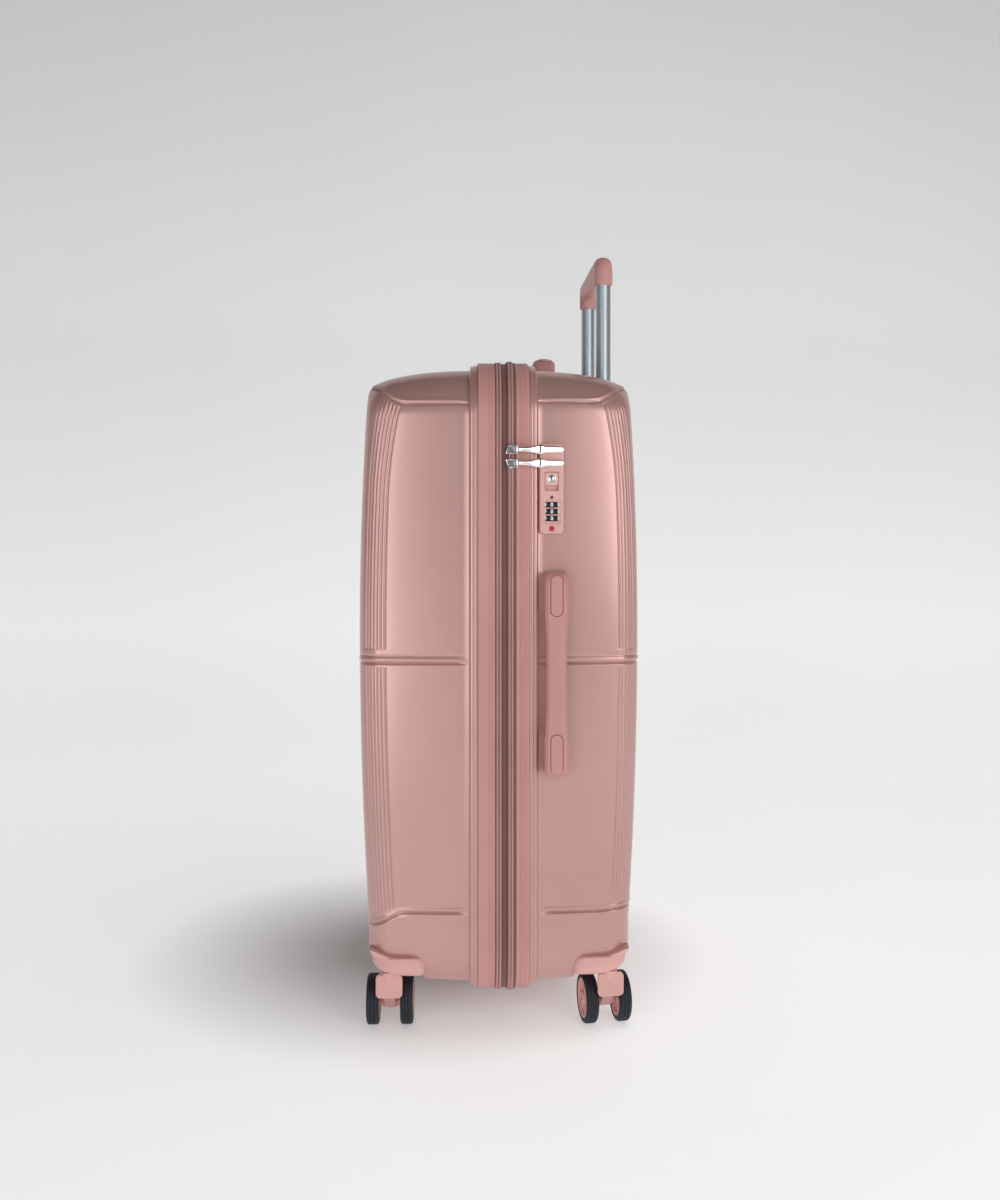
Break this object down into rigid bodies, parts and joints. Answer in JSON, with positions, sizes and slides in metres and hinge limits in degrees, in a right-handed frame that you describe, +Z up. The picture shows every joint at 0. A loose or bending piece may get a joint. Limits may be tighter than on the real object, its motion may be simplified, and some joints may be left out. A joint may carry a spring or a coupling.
{
  "type": "hard shell suitcase",
  "caption": "Upright hard shell suitcase with an expandable zip opening, trolley handle, carry handles, dial lock and swivelling twin-wheel casters.",
  "frame": {"origin": "on the floor under the middle of the case", "axes": "+Z up, +Y from the front shell to the trolley side, +X from the hinge side to the lock side"},
  "size_m": [0.54, 0.325, 0.8995],
  "materials": {
    "shell": "satin metallic rose gold",
    "band": "matt, pink",
    "zip": "woven tape with nylon coil",
    "dark_tape": "woven",
    "lining": "woven polyester",
    "strap": "elastic webbing",
    "buckle": "matt black",
    "housing": "matt, light pink",
    "grip": "matt, pink",
    "chrome": "polished",
    "dial": "matt, dark",
    "tube": "anodised",
    "base": "matt black",
    "axle": "brushed",
    "tyre": "polyurethane, dark"
  },
  "bodies": {
    "back_half": {"back_shell": "shell", "back_band": "band", "back_zip_tape": "zip", "back_lining": "lining", "back_packing_straps": "strap", "back_strap_buckle": "buckle", "back_side_feet": "band", "rear_caster_housings": "housing", "lock_housing": "housing", "side_handle_brackets": "grip", "top_handle_brackets": "grip", "trolley_bezel": "housing", "trolley_outer_tubes": "tube", "trolley_base": "base"},
    "mid_frame": {"middle_band": "dark_tape", "front_zip_tape": "zip", "hinge_strip": "zip", "expansion_zip_back": "zip"},
    "front_half": {"front_shell": "shell", "front_band": "band", "expansion_zip_front": "zip", "expansion_gusset": "zip", "front_lining": "lining", "front_packing_straps": "strap", "front_strap_buckle": "buckle", "front_side_feet": "band", "front_caster_housings": "housing"},
    "slider_upper": {"zip_slider_upper": "chrome"},
    "slider_lower": {"zip_slider_lower": "chrome"},
    "pull_upper": {"zip_pull_upper": "chrome"},
    "pull_lower": {"zip_pull_lower": "chrome"},
    "expansion_slider": {"expansion_zip_slider": "chrome"},
    "expansion_pull": {"expansion_zip_pull": "chrome"},
    "dial_1": {"lock_dial_1": "dial"},
    "dial_2": {"lock_dial_2": "dial"},
    "dial_3": {"lock_dial_3": "dial"},
    "release": {"lock_release": "housing"},
    "key_cylinder": {"lock_key_cylinder": "chrome"},
    "side_handle": {"side_handle_grip": "grip"},
    "top_handle": {"top_handle_grip": "grip"},
    "trolley_middle": {"trolley_middle_tubes": "tube"},
    "trolley_inner": {"trolley_inner_tubes": "tube", "trolley_grip": "grip"},
    "button": {"trolley_button": "base"},
    "fork_front_right": {"caster_fork_front_right": "housing"},
    "wheels_front_right": {"caster_axle_front_right": "axle", "wheel_hubs_front_right": "housing", "wheel_tyres_front_right": "tyre"},
    "fork_front_left": {"caster_fork_front_left": "housing"},
    "wheels_front_left": {"caster_axle_front_left": "axle", "wheel_hubs_front_left": "housing", "wheel_tyres_front_left": "tyre"},
    "fork_rear_right": {"caster_fork_rear_right": "housing"},
    "wheels_rear_right": {"caster_axle_rear_right": "axle", "wheel_hubs_rear_right": "housing", "wheel_tyres_rear_right": "tyre"},
    "fork_rear_left": {"caster_fork_rear_left": "housing"},
    "wheels_rear_left": {"caster_axle_rear_left": "axle", "wheel_hubs_rear_left": "housing", "wheel_tyres_rear_left": "tyre"}
  },
  "joints": [
    {"name": "case_open", "type": "hinge", "parent": "back_half", "child": "mid_frame", "pos_m": [-0.267, 0.0123, 0.4], "axis": [0, 0, -1], "range_deg": [0, 175], "deforming": ["hinge_strip"]},
    {"name": "expansion", "type": "slide", "parent": "mid_frame", "child": "front_half", "axis": [0, -1, 0], "range_m": [0, 0.045], "deforming": ["expansion_gusset"]},
    {"name": "zip_upper_slide", "type": "slide", "parent": "back_half", "child": "slider_upper", "axis": [0, 0, 1], "range_m": [0, 0.031]},
    {"name": "zip_lower_slide", "type": "slide", "parent": "back_half", "child": "slider_lower", "axis": [0, 0, 1], "range_m": [-0.11, 0]},
    {"name": "pull_upper_swing", "type": "hinge", "parent": "slider_upper", "child": "pull_upper", "pos_m": [0.2609, 0.0188, 0.656], "axis": [0, 0, -1], "range_deg": [0, 175]},
    {"name": "pull_lower_swing", "type": "hinge", "parent": "slider_lower", "child": "pull_lower", "pos_m": [0.2609, 0.0188, 0.641], "axis": [0, 0, -1], "range_deg": [0, 175]},
    {"name": "expansion_zip_slide", "type": "slide", "parent": "mid_frame", "child": "expansion_slider", "axis": [1, 0, 0], "range_m": [0, 0.25]},
    {"name": "expansion_pull_lift", "type": "hinge", "parent": "expansion_slider", "child": "expansion_pull", "pos_m": [-0.1325, -0.002, 0.7659], "axis": [0, 1, 0], "range_deg": [0, 170]},
    {"name": "dial_1_turn", "type": "hinge", "parent": "back_half", "child": "dial_1", "pos_m": [0.242, 0.0575, 0.5952], "axis": [0, 0, 1], "continuous": true},
    {"name": "dial_2_turn", "type": "hinge", "parent": "back_half", "child": "dial_2", "pos_m": [0.242, 0.0575, 0.5876], "axis": [0, 0, 1], "continuous": true},
    {"name": "dial_3_turn", "type": "hinge", "parent": "back_half", "child": "dial_3", "pos_m": [0.242, 0.0575, 0.58], "axis": [0, 0, 1], "continuous": true},
    {"name": "release_slide", "type": "slide", "parent": "back_half", "child": "release", "axis": [0, 0, -1], "range_m": [0, 0.006], "stiffness_N_per_m": 150, "springref_m": -0.001},
    {"name": "key_turn", "type": "hinge", "parent": "release", "child": "key_cylinder", "pos_m": [0.249, 0.0575, 0.624], "axis": [1, 0, 0], "range_deg": [0, 90]},
    {"name": "side_handle_lift", "type": "slide", "parent": "back_half", "child": "side_handle", "axis": [1, 0, 0], "range_m": [0, 0.008], "stiffness_N_per_m": 300, "springref_m": -0.001},
    {"name": "top_handle_lift", "type": "slide", "parent": "back_half", "child": "top_handle", "axis": [0, 0, 1], "range_m": [0, 0.008], "stiffness_N_per_m": 300, "springref_m": -0.001},
    {"name": "trolley_stage_1", "type": "slide", "parent": "back_half", "child": "trolley_middle", "axis": [0, 0, 1], "range_m": [0, 0.11]},
    {"name": "trolley_stage_2", "type": "slide", "parent": "trolley_middle", "child": "trolley_inner", "axis": [0, 0, 1], "range_m": [-0.111, 0.05]},
    {"name": "button_press", "type": "slide", "parent": "trolley_inner", "child": "button", "axis": [0, 0, -1], "range_m": [0, 0.003], "stiffness_N_per_m": 300, "springref_m": -0.001},
    {"name": "swivel_front_right", "type": "hinge", "parent": "front_half", "child": "fork_front_right", "pos_m": [0.204, -0.124, 0.068], "axis": [0, 0, 1], "continuous": true},
    {"name": "roll_front_right", "type": "hinge", "parent": "fork_front_right", "child": "wheels_front_right", "pos_m": [0.19, -0.124, 0.028], "axis": [0, 1, 0], "continuous": true},
    {"name": "swivel_front_left", "type": "hinge", "parent": "front_half", "child": "fork_front_left", "pos_m": [-0.216, -0.124, 0.068], "axis": [0, 0, 1], "continuous": true},
    {"name": "roll_front_left", "type": "hinge", "parent": "fork_front_left", "child": "wheels_front_left", "pos_m": [-0.22992, -0.12254, 0.028], "axis": [0.1045, 0.9945, 0], "continuous": true},
    {"name": "swivel_rear_right", "type": "hinge", "parent": "back_half", "child": "fork_rear_right", "pos_m": [0.204, 0.124, 0.068], "axis": [0, 0, 1], "continuous": true},
    {"name": "roll_rear_right", "type": "hinge", "parent": "fork_rear_right", "child": "wheels_rear_right", "pos_m": [0.19017, 0.12181, 0.028], "axis": [-0.1564, 0.9877, 0], "continuous": true},
    {"name": "swivel_rear_left", "type": "hinge", "parent": "back_half", "child": "fork_rear_left", "pos_m": [-0.216, 0.124, 0.068], "axis": [0, 0, 1], "continuous": true},
    {"name": "roll_rear_left", "type": "hinge", "parent": "fork_rear_left", "child": "wheels_rear_left", "pos_m": [-0.22997, 0.12302, 0.028], "axis": [-0.0698, 0.9976, 0], "continuous": true}
  ]
}
